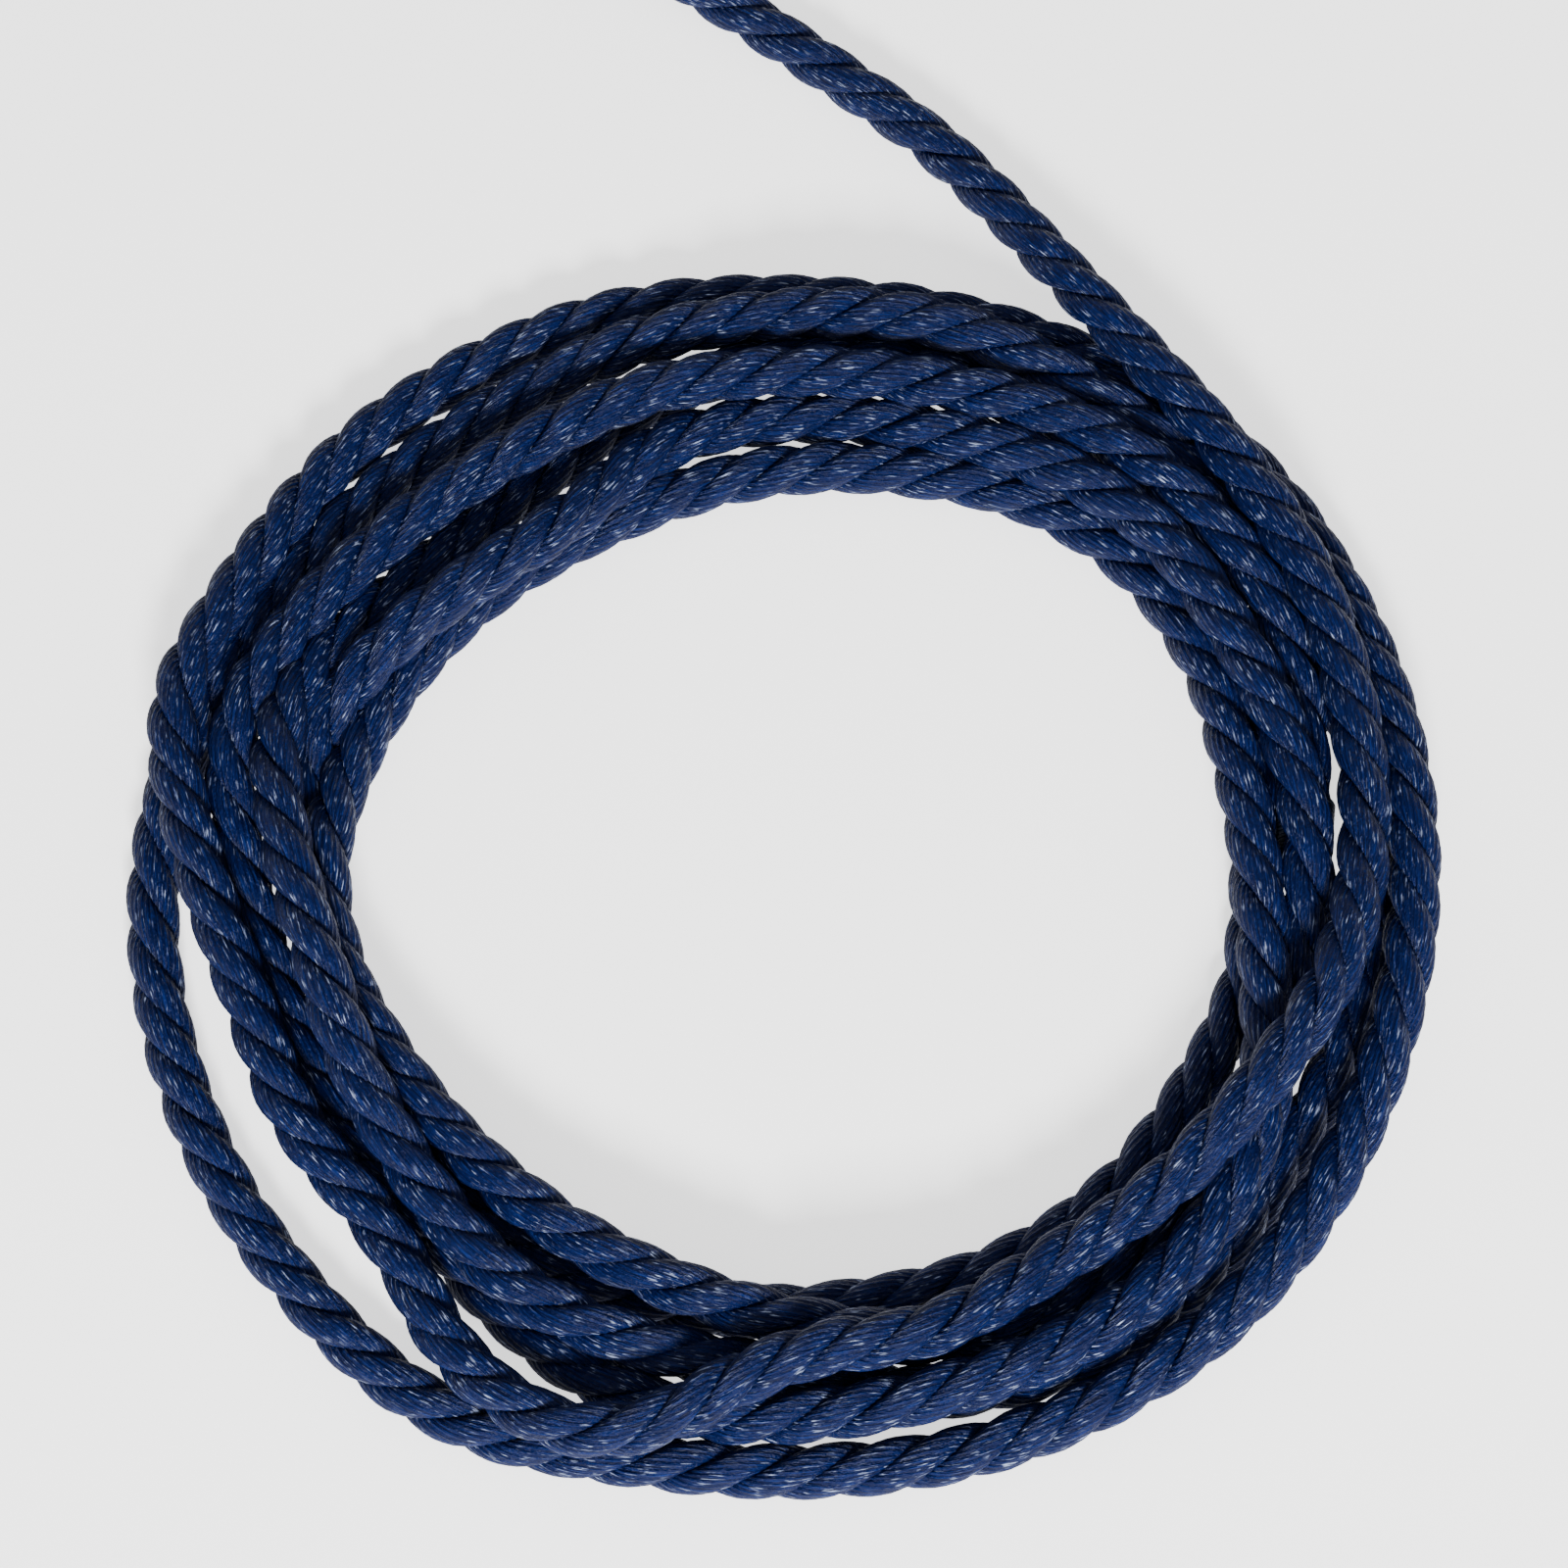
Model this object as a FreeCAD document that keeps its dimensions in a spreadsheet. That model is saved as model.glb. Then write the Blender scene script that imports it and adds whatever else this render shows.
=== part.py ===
import FreeCAD, Part
import math
import os

# A three-strand dock line, 12 mm thick and about five metres long, put down as a loose
# flat coil. Millimetres, +Z up, origin on the ground at the middle of the coil, and the
# free tail leaves the coil on its +Y side.
# The pile of turns is one closed ring and the tail is a plain round tube. Both cut ends
# carry a twine whipping and a heat-sealed tip; the inner end lies inside the pile.

doc = FreeCAD.newDocument("dock_line")

# ---- driving sizes -------------------------------------------------------------------
SIZES = {
    "rope_d": 12.0,
    "coil_scale": 1.0,         # in-plan scale of the coil and its tail
    "pile_height": 33.0,       # ground to the top of the highest turn
    "whip_length": 15.0,
    "whip_thick": 0.6,         # one layer of waxed twine
    "whip_setback": 2.0,       # bare rope between the whipping and the sealed tip
    "tip_length": 2.5,
    "tip_chamfer": 1.2,
    "inner_end_clock": 90.0,   # degrees clockwise from +Y
    "inner_end_across": 0.34,  # from the pile's inner edge towards its outer one
    "inner_end_clear": 2.4,    # ground to the underside of the buried whipping
}

# Inner and outer edge of the pile from its middle, every 30 degrees clockwise from +Y.
PILE_EDGES = [
    (96.0, 154.0), (105.5, 155.0), (103.0, 151.5), (98.5, 146.0),
    (96.0, 144.5), (97.0, 146.5), (94.5, 144.5), (90.0, 150.5),
    (90.5, 148.5), (97.5, 147.5), (96.0, 151.0), (93.0, 155.5),
]
for number, (inner_edge, outer_edge) in enumerate(PILE_EDGES):
    SIZES["inner_edge_%02d" % number] = inner_edge
    SIZES["outer_edge_%02d" % number] = outer_edge

# The pile's section over the ground: how far across its half width, how far up its height.
SECTION = [
    (-0.90, 0.0), (-0.99, 0.12), (-0.99, 0.36), (-0.86, 0.72), (-0.50, 0.94), (0.0, 1.0),
    (0.50, 0.94), (0.86, 0.72), (0.99, 0.36), (0.99, 0.12), (0.90, 0.0),
]

SECTION_COUNT = 36

# Rope centre along the tail, from the cut end to inside the pile. The third number is
# how far the rope is lifted off the ground.
TAIL_POINTS = [
    (-86.0, 274.0, 0.6), (-62.0, 261.0, 0.6), (-38.0, 247.0, 0.0), (-14.0, 230.0, 0.0),
    (11.0, 211.0, 0.0), (33.0, 193.0, 0.6), (50.0, 173.0, 3.0), (62.5, 155.0, 6.0),
    (73.0, 136.0, 8.5), (80.0, 115.0, 9.0),
]

sheet = doc.addObject("Spreadsheet::Sheet", "Sizes")
for row, (alias, value) in enumerate(SIZES.items(), start=1):
    sheet.set("A%d" % row, alias)
    sheet.set("B%d" % row, str(value))
    sheet.setAlias("B%d" % row, alias)
doc.recompute()


def size(alias):
    return float(sheet.get(alias))


def upright_at(position, direction):
    """Placement at a position, with its Z axis along a direction."""
    return FreeCAD.Placement(position, FreeCAD.Rotation(FreeCAD.Vector(0, 0, 1), direction))


# ---- the pile of turns ---------------------------------------------------------------
def pile_section(clock, inner_edge, outer_edge):
    """The pile's outline over the ground, cut along one clock direction."""
    angle = math.radians(clock)
    outward = FreeCAD.Vector(math.sin(angle), math.cos(angle), 0)
    middle = (inner_edge + outer_edge) / 2
    half_width = (outer_edge - inner_edge) / 2
    outline = []
    for across, up in SECTION:
        rise = FreeCAD.Vector(0, 0, up * size("pile_height"))
        outline.append(outward * (middle + across * half_width) + rise)
    crown = Part.BSplineCurve()
    crown.interpolate(outline)
    return Part.Wire([crown.toShape()])


def edge_radius(alias, station):
    """Radius of the pile's inner or outer edge, eased between the measured stations."""
    whole = math.floor(station)
    part = station - whole
    count = len(PILE_EDGES)
    before, near, far, after = [size(alias % ((whole + step) % count)) for step in (-1, 0, 1, 2)]
    bend = (far - before, 2 * before - 5 * near + 4 * far - after, 3 * (near - far) + after - before)
    eased = near + part / 2 * (bend[0] + part * (bend[1] + part * bend[2]))
    return eased * size("coil_scale")


def edges_at(clock):
    """Radii of the pile's inner and outer edge in one clock direction."""
    station = clock * len(PILE_EDGES) / 360
    return [edge_radius(alias, station) for alias in ("inner_edge_%02d", "outer_edge_%02d")]


def pile_shape():
    """One skin through all the sections, closed below by a flat face on the ground."""
    sections = []
    for number in range(SECTION_COUNT):
        clock = number * 360 / SECTION_COUNT
        sections.append(pile_section(clock, *edges_at(clock)))
    skin = Part.makeLoft(sections, False, False, True)
    rims = [edge for edge in skin.Edges if edge.isClosed()]
    rims.sort(key=lambda edge: edge.Length, reverse=True)
    base = Part.makeFace([Part.Wire([rim]) for rim in rims], "Part::FaceMakerBullseye")
    shell = Part.Shell(skin.Faces + [base])
    shell.sewShape()
    return Part.Solid(shell)


pile = doc.addObject("Part::Feature", "pile")
pile.Shape = pile_shape()


# ---- the two cut ends ----------------------------------------------------------------
def bound_cylinder(name, radius, placement):
    """Cylinder as long as the whipping, with its radius from the sheet."""
    cylinder = doc.addObject("Part::Cylinder", name)
    cylinder.setExpression("Radius", radius)
    cylinder.setExpression("Height", "Sizes.whip_length * 1 mm")
    cylinder.Placement = placement
    return cylinder


def finished_end(prefix, position, outward):
    """Twine whipping round the rope near its cut end, and the melted tip beyond it."""
    whipped = size("whip_length") + size("whip_setback")
    seat = upright_at(position - outward * whipped, outward)
    whipping = doc.addObject("Part::Cut", prefix + "_whipping")
    whipping.Label = prefix + "_whipping"
    outside = "(Sizes.rope_d / 2 + Sizes.whip_thick) * 1 mm"
    whipping.Base = bound_cylinder(prefix + "_twine", outside, seat)
    whipping.Tool = bound_cylinder(prefix + "_core", "Sizes.rope_d / 2 * 1 mm", seat)
    tip = doc.addObject("Part::Cone", prefix + "_tip")
    tip.Label = prefix + "_tip"
    tip.setExpression("Radius1", "Sizes.rope_d / 2 * 1 mm")
    tip.setExpression("Radius2", "(Sizes.rope_d / 2 - Sizes.tip_chamfer) * 1 mm")
    tip.setExpression("Height", "Sizes.tip_length * 1 mm")
    tip.Placement = upright_at(position, outward)
    return whipping, tip


clock = math.radians(size("inner_end_clock"))
inner_edge, outer_edge = edges_at(size("inner_end_clock"))
reach = inner_edge + size("inner_end_across") * (outer_edge - inner_edge)
height = size("rope_d") / 2 + size("whip_thick") + size("inner_end_clear")
inner_end = FreeCAD.Vector(math.sin(clock) * reach, math.cos(clock) * reach, height)
along_turn = FreeCAD.Vector(math.cos(clock), -math.sin(clock), 0)
inner_whipping, inner_tip = finished_end("inner", inner_end, along_turn)

buried_end = doc.addObject("Part::Fuse", "buried_end")
buried_end.Base = inner_whipping
buried_end.Tool = inner_tip
coil = doc.addObject("Part::Cut", "rope_coil")
coil.Label = "rope_coil"
coil.Base = pile
coil.Tool = buried_end


# ---- the free tail -------------------------------------------------------------------
def rope_line(stops):
    """Straight runs joined by tangent arcs, each taking 0.45 of its shorter run."""
    edges = []
    start = stops[0]
    for before, corner, after in zip(stops, stops[1:], stops[2:]):
        arriving = (corner - before).normalize()
        leaving = (after - corner).normalize()
        turn = arriving.getAngle(leaving)
        setback = 0.45 * min((corner - before).Length, (after - corner).Length)
        radius = setback / math.tan(turn / 2)
        print("tail bend: radius %.0f mm, turn %.0f degrees" % (radius, math.degrees(turn)))
        first = corner - arriving * setback
        last = corner + leaving * setback
        chord_middle = (first + last) / 2
        towards_corner = (corner - chord_middle).normalize()
        crest = chord_middle + towards_corner * radius * (1 - math.cos(turn / 2))
        edges.append(Part.LineSegment(start, first).toShape())
        edges.append(Part.Arc(first, crest, last).toShape())
        start = last
    edges.append(Part.LineSegment(start, stops[-1]).toShape())
    return Part.Wire(edges)


def tube_along(line, radius):
    """Round tube swept along a line of runs and arcs."""
    first_edge = line.OrderedEdges[0]
    start = first_edge.valueAt(first_edge.FirstParameter)
    direction = first_edge.tangentAt(first_edge.FirstParameter)
    section = Part.Wire([Part.makeCircle(radius, start, direction)])
    solid = line.makePipeShell([section], True, True)
    expected = math.pi * radius ** 2 * line.Length
    print("tail tube: %.0f mm long, volume %.4f of section times length"
          % (line.Length, solid.Volume / expected))
    return solid


rope_radius = size("rope_d") / 2
tail_stops = [
    FreeCAD.Vector(x * size("coil_scale"), y * size("coil_scale"), rope_radius + lift)
    for x, y, lift in TAIL_POINTS
]
tail_tube = doc.addObject("Part::Feature", "tail_tube")
tail_tube.Shape = tube_along(rope_line(tail_stops), rope_radius)
tail = doc.addObject("Part::Cut", "rope_tail")
tail.Label = "rope_tail"
tail.Base = tail_tube
tail.Tool = pile

finished_end("tail", tail_stops[0], (tail_stops[0] - tail_stops[1]).normalize())

# ---- check and write -----------------------------------------------------------------
SUB_PARTS = ["rope_coil", "rope_tail", "tail_whipping", "tail_tip", "inner_whipping", "inner_tip"]

doc.recompute()
for item in doc.Objects:
    if "Invalid" in item.State or "Error" in item.State:
        raise RuntimeError("%s did not build: %s" % (item.Name, item.State))

os.makedirs("parts", exist_ok=True)
for name in SUB_PARTS:
    shape = doc.getObject(name).Shape
    if shape.isNull() or not shape.isValid() or len(shape.Solids) != 1:
        raise RuntimeError("%s is not one valid solid" % name)
    print("%s: volume %.1f cm3, lowest point %.2f mm"
          % (name, shape.Volume / 1000, shape.BoundBox.ZMin))
    shape.exportStep("parts/%s.step" % name)
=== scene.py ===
import math

import bpy
import numpy as np
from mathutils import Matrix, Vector


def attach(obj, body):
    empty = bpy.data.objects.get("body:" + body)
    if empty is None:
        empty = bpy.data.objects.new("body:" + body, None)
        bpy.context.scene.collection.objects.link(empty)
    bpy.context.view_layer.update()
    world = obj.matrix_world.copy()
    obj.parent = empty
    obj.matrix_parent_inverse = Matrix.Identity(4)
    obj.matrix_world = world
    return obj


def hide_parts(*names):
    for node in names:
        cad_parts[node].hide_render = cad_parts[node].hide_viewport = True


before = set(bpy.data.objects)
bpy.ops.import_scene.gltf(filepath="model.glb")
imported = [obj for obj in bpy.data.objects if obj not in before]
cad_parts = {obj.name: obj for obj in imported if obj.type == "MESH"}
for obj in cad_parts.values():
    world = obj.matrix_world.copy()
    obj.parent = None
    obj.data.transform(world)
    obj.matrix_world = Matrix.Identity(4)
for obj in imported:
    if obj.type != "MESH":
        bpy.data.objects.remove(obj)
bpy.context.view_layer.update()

# ---- camera ---------------------------------------------------------------------------
# A long lens looks down on the coil from the front, about 65 degrees above the ground,
# and the tail runs out of the view's far edge.
aim = Vector((-0.0007, 0.0259, 0.0))
elevation = math.radians(65.5)
distance = 1.217
camera_data = bpy.data.cameras.new("camera")
camera_data.lens = 123.3
camera_data.sensor_width = 36.0
camera_data.clip_end = 20.0
camera = bpy.data.objects.new("camera", camera_data)
camera.location = aim + distance * Vector((0, -math.cos(elevation), math.sin(elevation)))
camera.rotation_euler = (math.pi / 2 - elevation, 0, 0)
bpy.context.collection.objects.link(camera)
bpy.context.scene.camera = camera

# ---- the rope's route -----------------------------------------------------------------
# One 12 mm rope about five metres long: a free tail, then about six and a quarter loose
# turns laid clockwise, each drifting in and out over or under the others. Nothing ties
# them, and the inner end is buried in the pile.
ROPE_D = 0.012
STATION_SPACING = 0.0017  # along the rope, between the rings of its meshes
TAIL = [
    (-0.086, 0.274, 0.0006), (-0.062, 0.261, 0.0006), (-0.038, 0.247, 0.0),
    (-0.014, 0.230, 0.0), (0.011, 0.211, 0.0), (0.033, 0.193, 0.0006),
    (0.050, 0.173, 0.003), (0.0625, 0.155, 0.006),
]
FIRST_CLOCK = 30
CLOCK_STEP = 15

# How far the route's control points are from the middle of the coil, in millimetres,
# every 15 degrees clockwise from +Y. Each row is one turn: the first starts at 30 degrees
# and the last stops at 90.
REACH = [
    [155, 144, 138, 132, 128.5, 124.5, 117.5, 114, 111, 117.5, 117,
     143, 138.5, 121.5, 124.5, 123, 131.5, 145.5, 144, 148.5, 150.5, 151.5],
    [149, 150, 151, 151, 146, 142, 140, 139.5, 140.5, 142.5, 141.5, 140,
     138.5, 140, 147, 144.5, 143.5, 143, 143, 140.5, 136.3, 136.5, 137, 139.2],
    [140.5, 142.5, 139.5, 140, 133, 134.5, 136.5, 131.5, 128, 130.5, 130.2, 126,
     116.5, 117, 117, 111, 108, 106, 111, 120, 118, 113, 116, 126],
    [135, 136.5, 133.5, 123, 121, 109, 105, 105.5, 103, 104, 104, 102.5,
     102.5, 104.5, 104.5, 103, 103, 105, 107, 113.5, 106, 98, 98, 112],
    [116.9, 116.8, 117.5, 119, 115, 116, 116.5, 117, 117, 117, 118, 115,
     108, 103, 99.5, 98.5, 99, 102.7, 103.8, 102, 101.3, 100, 99, 100.5],
    [104, 107, 112, 113, 109, 104, 104, 108.5, 121, 127, 129, 128.5,
     129.3, 128.5, 120, 113, 116, 116, 122, 131, 126, 122, 120.5, 123],
    [124.4, 125.5, 129, 130, 128.8, 122.3, 114.65],
]

# How far the rope is lifted off the ground at the same control points, in millimetres.
LIFT = [
    [10, 12.5, 14, 15, 16, 22.5, 22, 15.5, 13, 17.5, 19.5,
     15.5, 8, 7, 9.5, 10, 11.5, 11, 6.5, 2, 0, 0],
    [0, 0, 0, 0, 2, 8, 12, 12, 10.5, 7, 2.5, 0,
     0, 0, 0, 0, 0, 0, 0, 0, 0, 0, 1, 6],
    [9.5, 10.5, 8, 2, 0, 0, 0, 0, 0, 0, 0, 0,
     1.5, 8, 11, 12, 18, 21, 18, 11, 3, 0, 0, 0],
    [0, 0, 0, 0, 0, 0, 0, 0, 0, 0, 0, 0,
     0, 0, 0, 0, 0, 0, 0, 2, 11, 14, 12, 6],
    [1.3, 3.7, 9, 11, 13, 13.5, 13, 5, 0, 0, 1, 6,
     10.5, 11.5, 10.5, 11, 10.5, 10.5, 10.5, 3.5, 0, 0, 0, 0],
    [0, 0, 0, 0, 4, 9.5, 11.5, 12.5, 11, 10, 11, 11.5,
     8, 2, 0, 0, 0, 0, 3, 8, 9.5, 8.5, 10.5, 12],
    [10.4, 10.6, 11.5, 11.5, 9, 3.5, 3],
]


def turn_points():
    """Control points of the coiled turns, from the outermost start to the inner end."""
    points = []
    for reach, lift in zip(sum(REACH, []), sum(LIFT, [])):
        clock = math.radians(FIRST_CLOCK + CLOCK_STEP * len(points))
        x = reach * math.sin(clock)
        y = reach * math.cos(clock)
        points.append((x / 1000, y / 1000, lift / 1000))
    return points


def smooth_line(points):
    """Points read from one NURBS spline with the route's points as its control points."""
    curve = bpy.data.curves.new("rope_line", "CURVE")
    curve.dimensions = "3D"
    spline = curve.splines.new("NURBS")
    spline.points.add(len(points) - 1)
    for point, (x, y, lift) in zip(spline.points, points):
        point.co = (x, y, ROPE_D / 2 + lift, 1)
    spline.order_u = 3
    spline.use_endpoint_u = True
    spline.resolution_u = 24
    holder = bpy.data.objects.new("rope_line", curve)
    bpy.context.collection.objects.link(holder)
    mesh = bpy.data.meshes.new_from_object(holder)
    line = np.array([vertex.co[:] for vertex in mesh.vertices])
    bpy.data.objects.remove(holder)
    bpy.data.curves.remove(curve)
    bpy.data.meshes.remove(mesh)
    return line


def evenly_spaced(line, spacing):
    """The line again, with its points the same distance apart."""
    along = np.concatenate([[0], np.cumsum(np.linalg.norm(np.diff(line, axis=0), axis=1))])
    stations = np.linspace(0, along[-1], round(along[-1] / spacing) + 1)
    return stations, np.column_stack([np.interp(stations, along, line[:, i]) for i in range(3)])


def unit(vectors):
    """The same directions with a length of one."""
    return vectors / np.linalg.norm(vectors, axis=-1, keepdims=True)


route = smooth_line(TAIL + turn_points())
stations, centre = evenly_spaced(route, STATION_SPACING)
heading = unit(np.gradient(centre, axis=0))
side = unit(np.cross((0, 0, 1), heading))
above = np.cross(heading, side)

# ---- the three strands ----------------------------------------------------------------
# Three round strands of navy polypropylene laid up left-handed, held together only by
# their twist. Each strand is fourteen yarns twisted the other way, so that the yarns lie
# almost along the rope.
LAY_LENGTH = 3.33 * ROPE_D
STRAND_DEPTH = 0.225 * ROPE_D  # half of the strand's thickness, outward from the rope's axis
STRAND_WIDTH = 0.27 * ROPE_D  # half of its width, flattened against its neighbours
STRAND_OFFSET = 0.5 * ROPE_D - STRAND_DEPTH
YARNS = 14
YARN_RELIEF = 0.00012
YARN_TURNS = 1.9  # turns of the yarns round their strand, for each turn of the strand
YARN_REPEAT = 0.0175  # length of rope for one unit along the yarns' texture
CORNERS = 2 * YARNS


def strand(number):
    """Mesh of one strand, with a ring of corners that follows its yarns."""
    # The twist and the thickness of a soft laid rope are a little uneven.
    drift = 0.10 * np.sin(stations * 31 + 2 * number) + 0.07 * np.sin(stations * 83 + number)
    swell = 1 + 0.015 * np.sin(stations * 140 + 3 * number) + 0.01 * np.sin(stations * 411)
    twist = -2 * math.pi * (stations / LAY_LENGTH + number / 3) + drift
    outward = np.cos(twist)[:, None] * side + np.sin(twist)[:, None] * above
    middle = centre + STRAND_OFFSET * outward
    across = np.cross(unit(np.gradient(middle, axis=0)), outward)
    rings = []
    for corner in range(CORNERS):
        angle = 2 * math.pi * corner / CORNERS - YARN_TURNS * twist
        relief = YARN_RELIEF * (-1) ** corner
        out = (STRAND_DEPTH * swell + relief) * np.cos(angle)
        over = (STRAND_WIDTH * swell + relief) * np.sin(angle)
        rings.append(middle + out[:, None] * outward + over[:, None] * across)
    vertices = np.stack(rings, axis=1).reshape(-1, 3)
    faces = []
    texture = []
    for ring in range(len(stations) - 1):
        first, second = ring * CORNERS, (ring + 1) * CORNERS
        low, high = stations[ring] / YARN_REPEAT, stations[ring + 1] / YARN_REPEAT
        for corner in range(CORNERS):
            following = (corner + 1) % CORNERS
            faces.append((first + corner, first + following, second + following, second + corner))
            left, right = corner / CORNERS, (corner + 1) / CORNERS
            texture += [left, low, right, low, right, high, left, high]
    mesh = bpy.data.meshes.new("strand_%d" % (number + 1))
    mesh.from_pydata(vertices.tolist(), [], faces)
    mesh.uv_layers.new(name="yarns").data.foreach_set("uv", texture)
    mesh.polygons.foreach_set("use_smooth", [True] * len(faces))
    mesh.update()
    piece = bpy.data.objects.new(mesh.name, mesh)
    bpy.context.collection.objects.link(piece)
    return piece


def yarn_material():
    """Navy polypropylene yarn: fine filaments along each yarn, painted shade in the grooves between
    yarns, and bright flecks of painted glint.
    """
    material = bpy.data.materials.new("navy_yarn")
    material.use_nodes = True
    nodes, links = material.node_tree.nodes, material.node_tree.links
    shader = nodes["Principled BSDF"]
    place = nodes.new("ShaderNodeUVMap")
    place.uv_map = "yarns"

    def stretched(across, along):
        mapping = nodes.new("ShaderNodeMapping")
        mapping.inputs["Scale"].default_value = (across, along, 1)
        links.new(place.outputs[0], mapping.inputs["Vector"])
        return mapping.outputs[0]

    def noise(vector, detail, scale=1.0):
        texture = nodes.new("ShaderNodeTexNoise")
        texture.inputs["Scale"].default_value = scale
        texture.inputs["Detail"].default_value = detail
        links.new(vector, texture.inputs["Vector"])
        return texture.outputs["Fac"]

    def ramp(value, *stops):
        colours = nodes.new("ShaderNodeValToRGB")
        links.new(value, colours.inputs[0])
        band = colours.color_ramp
        while len(band.elements) < len(stops):
            band.elements.new(0.5)
        for element, (position, colour) in zip(band.elements, stops):
            element.position = position
            element.color = (*colour, 1)
        return colours.outputs[0]

    def mix(kind, factor, first, second):
        blend = nodes.new("ShaderNodeMix")
        blend.data_type = "RGBA"
        blend.blend_type = kind
        blend.inputs["Factor"].default_value = factor
        links.new(first, blend.inputs["A"])
        links.new(second, blend.inputs["B"])
        return blend.outputs["Result"]

    filaments = noise(stretched(80, 3.5), 4)
    glints = noise(stretched(46, 6), 2)
    glint_patches = noise(stretched(5, 3), 1)
    grooves = nodes.new("ShaderNodeTexWave")
    grooves.inputs["Scale"].default_value = YARNS * 2 * math.pi / 20
    grooves.inputs["Distortion"].default_value = 3.2
    grooves.inputs["Detail Scale"].default_value = 5
    links.new(place.outputs[0], grooves.inputs["Vector"])
    groove = grooves.outputs["Fac"]
    navy = ramp(filaments, (0.32, (0.0002, 0.0024, 0.021)), (0.50, (0.0005, 0.0045, 0.042)),
                (0.68, (0.0032, 0.016, 0.105)))
    # Painted shade: the base colour is darkened in the grooves between the yarns.
    navy = mix("MULTIPLY", 1.0, navy, ramp(groove, (0.35, (1, 1, 1)), (0.95, (0.62, 0.62, 0.66))))
    # Painted glints: bright dashes along the yarns, added to the base colour in patches.
    painted_glints = ramp(glints, (0.60, (0, 0, 0)), (0.76, (0.42, 0.5, 0.7)))
    painted_glints = mix("MULTIPLY", 1.0, painted_glints, ramp(glint_patches, (0.38, (0.1, 0.1, 0.1)), (0.62, (1, 1, 1))))
    navy = mix("ADD", 1.0, navy, painted_glints)
    links.new(navy, shader.inputs["Base Color"])
    shader.inputs["Roughness"].default_value = 0.36
    shader.inputs["Specular IOR Level"].default_value = 0.14
    furrows = ramp(groove, (0, (1, 1, 1)), (1, (0, 0, 0)))
    relief = mix("ADD", 0.6, mix("ADD", 0.7, filaments, glints), furrows)
    bump = nodes.new("ShaderNodeBump")
    bump.inputs["Strength"].default_value = 0.9
    bump.inputs["Distance"].default_value = 0.0005
    links.new(relief, bump.inputs["Height"])
    links.new(bump.outputs[0], shader.inputs["Normal"])
    return material


navy_yarn = yarn_material()
strands = [strand(number) for number in range(3)]
for piece in strands:
    piece.data.materials.append(navy_yarn)
    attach(piece, "root")
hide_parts("rope_coil", "rope_tail")

# ---- the two cut ends -----------------------------------------------------------------
# Near each cut end the strands are held by a tight winding of waxed twine, and the end
# itself is melted into a hard, slightly domed tip.
WHIP_LENGTH = 0.015
WHIP_SETBACK = 0.002
TWINE_D = 0.001
TWINE_SLACK = 0.0001  # between the rope and the twine's middle height
TIP_LENGTH = 0.0025
TIP_ROOT = 0.0015  # how far the melted tip reaches back into the rope


def lathed(name, end, outward, offsets, radius):
    """Closed surface round the rope's axis. The radius depends on the offset and the angle."""
    level = Vector(np.cross((0, 0, 1), outward)).normalized()
    upright = Vector(outward).cross(level)
    corners = 48
    vertices = []
    for offset in offsets:
        for corner in range(corners):
            angle = 2 * math.pi * corner / corners
            spoke = math.cos(angle) * level + math.sin(angle) * upright
            middle = Vector(end) + offset * Vector(outward)
            vertices.append(middle + radius(offset, angle) * spoke)
    faces = [range(corners - 1, -1, -1)]
    for ring in range(len(offsets) - 1):
        first, second = ring * corners, (ring + 1) * corners
        for corner in range(corners):
            following = (corner + 1) % corners
            faces.append((first + corner, first + following, second + following, second + corner))
    faces.append(range(len(vertices) - corners, len(vertices)))
    mesh = bpy.data.meshes.new(name)
    mesh.from_pydata(vertices, [], faces)
    mesh.polygons.foreach_set("use_smooth", [True] * len(faces))
    mesh.update()
    piece = bpy.data.objects.new(name, mesh)
    bpy.context.collection.objects.link(piece)
    return piece


def winding_radius(offset, angle):
    """Round turns of twine, side by side, in one helix round the rope."""
    turn = offset / TWINE_D - angle / (2 * math.pi)
    across = 2 * (turn - math.floor(turn)) - 1
    return ROPE_D / 2 + TWINE_SLACK + TWINE_D / 2 * math.sqrt(1 - 0.9 * across * across)


def tip_radius(offset, angle):
    """Melted end: it rounds over towards its face, and the three strands still show."""
    fraction = max(0.0, offset / TIP_LENGTH)
    lobes = 1 + 0.035 * math.cos(3 * angle) + 0.012 * math.sin(7 * angle + 1)
    return ROPE_D / 2 * 0.96 * lobes * math.sqrt(max(0.0, 1 - 0.62 * fraction ** 3))


def speckled(name, dark, light, roughness, grain, depth):
    """Two mixed tones with a fine bump."""
    material = bpy.data.materials.new(name)
    material.use_nodes = True
    nodes, links = material.node_tree.nodes, material.node_tree.links
    shader = nodes["Principled BSDF"]
    place = nodes.new("ShaderNodeTexCoord")
    texture = nodes.new("ShaderNodeTexNoise")
    texture.inputs["Scale"].default_value = grain
    texture.inputs["Detail"].default_value = 4
    links.new(place.outputs["Object"], texture.inputs["Vector"])
    tones = nodes.new("ShaderNodeValToRGB")
    tones.color_ramp.elements[0].position = 0.35
    tones.color_ramp.elements[0].color = (*dark, 1)
    tones.color_ramp.elements[1].position = 0.68
    tones.color_ramp.elements[1].color = (*light, 1)
    links.new(texture.outputs["Fac"], tones.inputs[0])
    links.new(tones.outputs[0], shader.inputs["Base Color"])
    shader.inputs["Roughness"].default_value = roughness
    bump = nodes.new("ShaderNodeBump")
    bump.inputs["Strength"].default_value = 0.5
    bump.inputs["Distance"].default_value = depth
    links.new(texture.outputs["Fac"], bump.inputs["Height"])
    links.new(bump.outputs[0], shader.inputs["Normal"])
    return material


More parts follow.
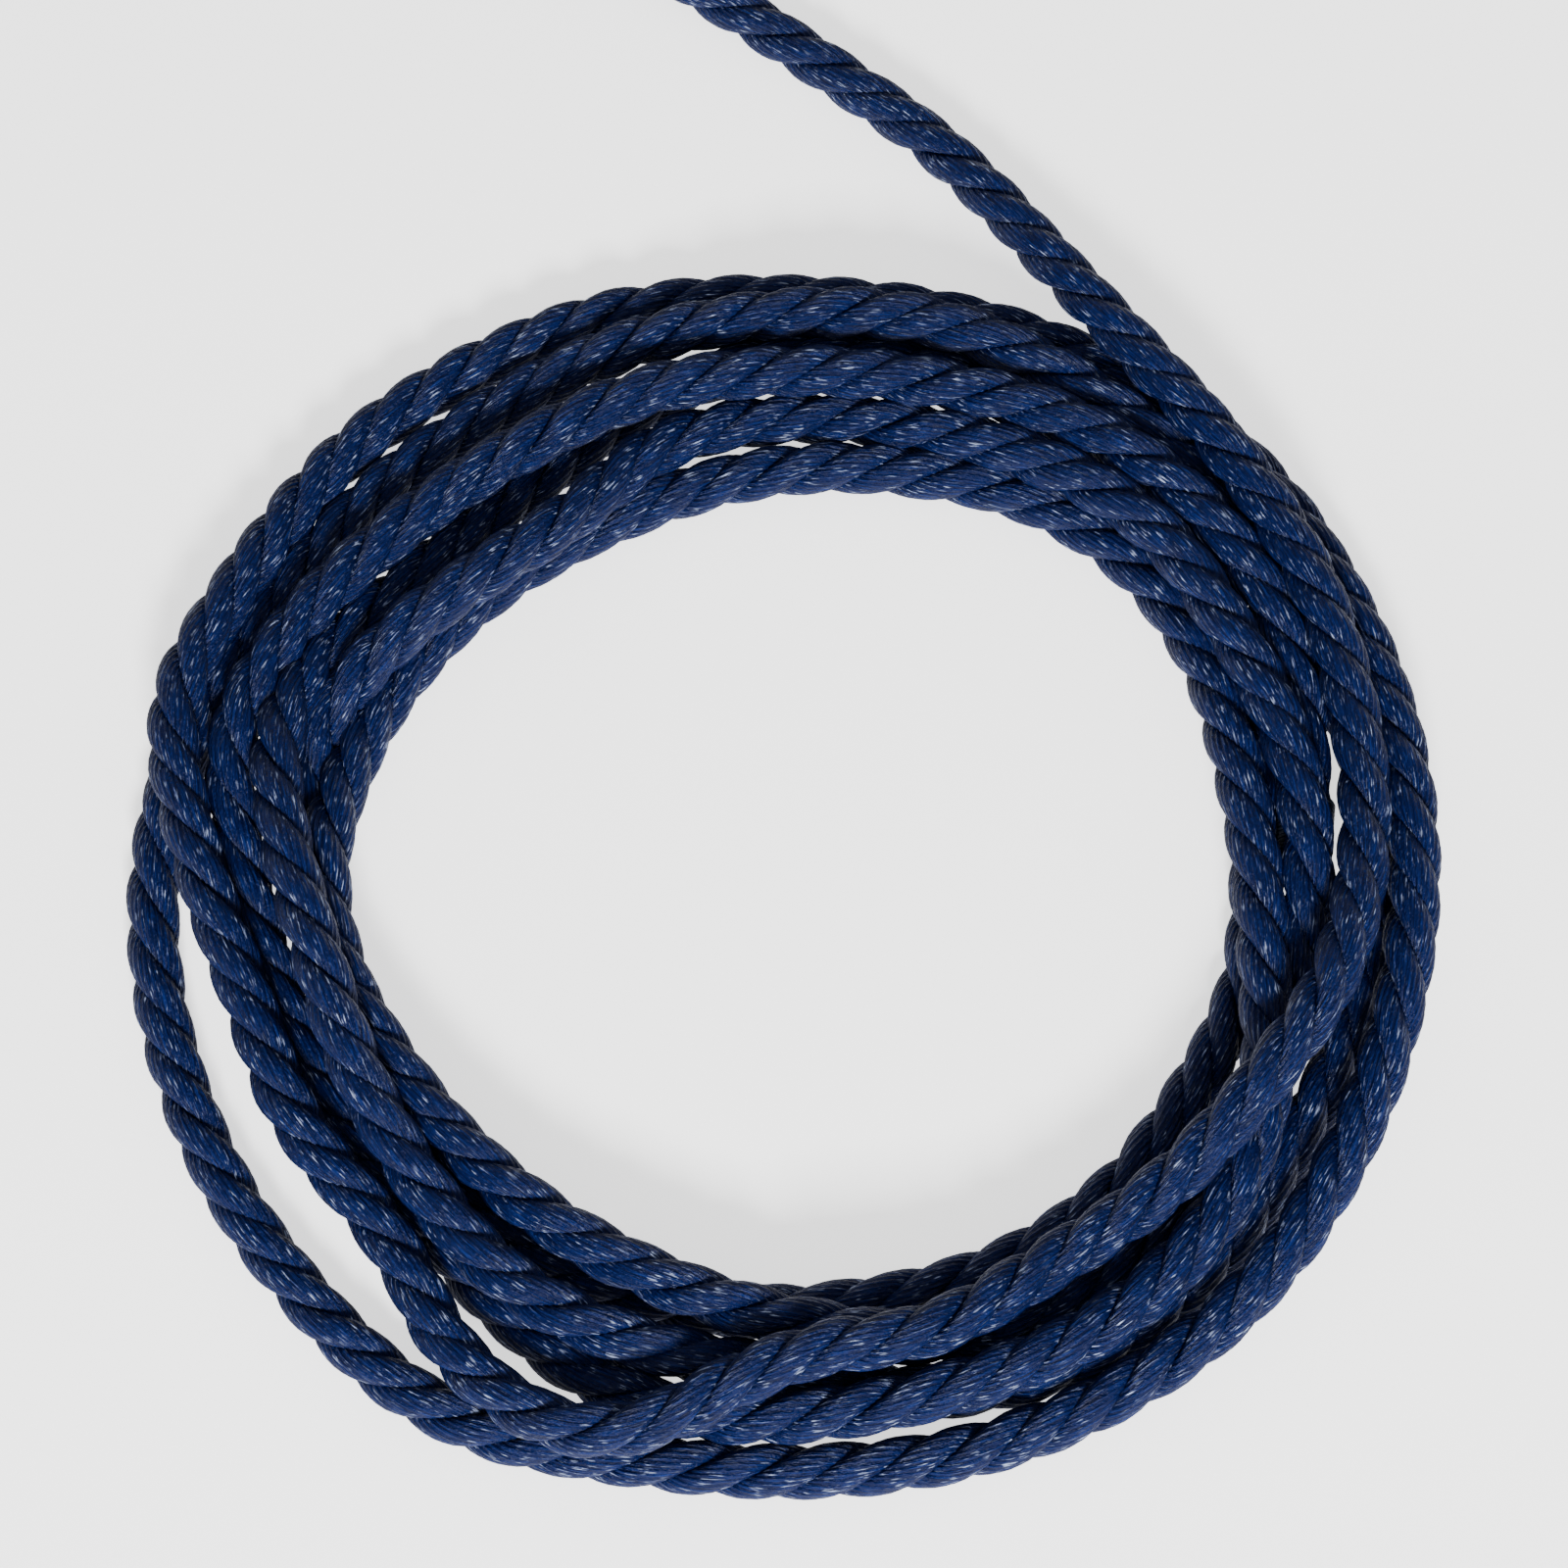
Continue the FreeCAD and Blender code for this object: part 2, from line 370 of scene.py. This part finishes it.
waxed_twine = speckled("waxed_twine", (0.005, 0.009, 0.022), (0.02, 0.03, 0.06), 0.5, 2600, 0.0001)
melted = speckled("melted_yarn", (0.001, 0.003, 0.012), (0.006, 0.013, 0.04), 0.28, 700, 0.0003)
for prefix, end, outward in (("tail", centre[0], -heading[0]), ("inner", centre[-1], heading[-1])):
    winding = [-WHIP_SETBACK - WHIP_LENGTH * (1 - step / 150) for step in range(151)]
    twine = lathed(prefix + "_twine", end, outward, winding, winding_radius)
    twine.data.materials.append(waxed_twine)
    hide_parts(prefix + "_whipping")
    dome = [-TIP_ROOT + step * (TIP_LENGTH + TIP_ROOT) / 16 for step in range(17)]
    tip = lathed(prefix + "_seal", end, outward, dome, tip_radius)
    tip.data.materials.append(melted)
    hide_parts(prefix + "_tip")
    for piece in (twine, tip):
        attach(piece, "root")

# ---- floor and light ------------------------------------------------------------------
# The coil lies on white paper under soft studio light. A white room lights it from all
# round, and one square softbox stands in front, to the right of the middle.
paper = bpy.data.materials.new("paper")
paper.use_nodes = True
paper_shader = paper.node_tree.nodes["Principled BSDF"]
paper_shader.inputs["Base Color"].default_value = (0.93, 0.93, 0.93, 1)
paper_shader.inputs["Roughness"].default_value = 0.9
paper_shader.inputs["Emission Color"].default_value = (1, 1, 1, 1)
paper_shader.inputs["Emission Strength"].default_value = 1.4
floor_mesh = bpy.data.meshes.new("floor")
floor_mesh.from_pydata([(-3, -3, 0), (3, -3, 0), (3, 3, 0), (-3, 3, 0)], [], [(0, 1, 2, 3)])
floor_mesh.materials.append(paper)
floor = bpy.data.objects.new("floor", floor_mesh)
bpy.context.collection.objects.link(floor)

studio = bpy.data.worlds.new("studio")
studio.use_nodes = True
studio.node_tree.nodes["Background"].inputs["Color"].default_value = (1, 1, 1, 1)
studio.node_tree.nodes["Background"].inputs["Strength"].default_value = 0.65
bpy.context.scene.world = studio

softbox = bpy.data.lights.new("front_light", "AREA")
softbox.size = 0.4
softbox.energy = 105
lamp = bpy.data.objects.new("front_light", softbox)
lamp.location = (0.1, -1.7, 1.15)
lamp.rotation_euler = (-lamp.location).to_track_quat("-Z", "Y").to_euler()
bpy.context.collection.objects.link(lamp)
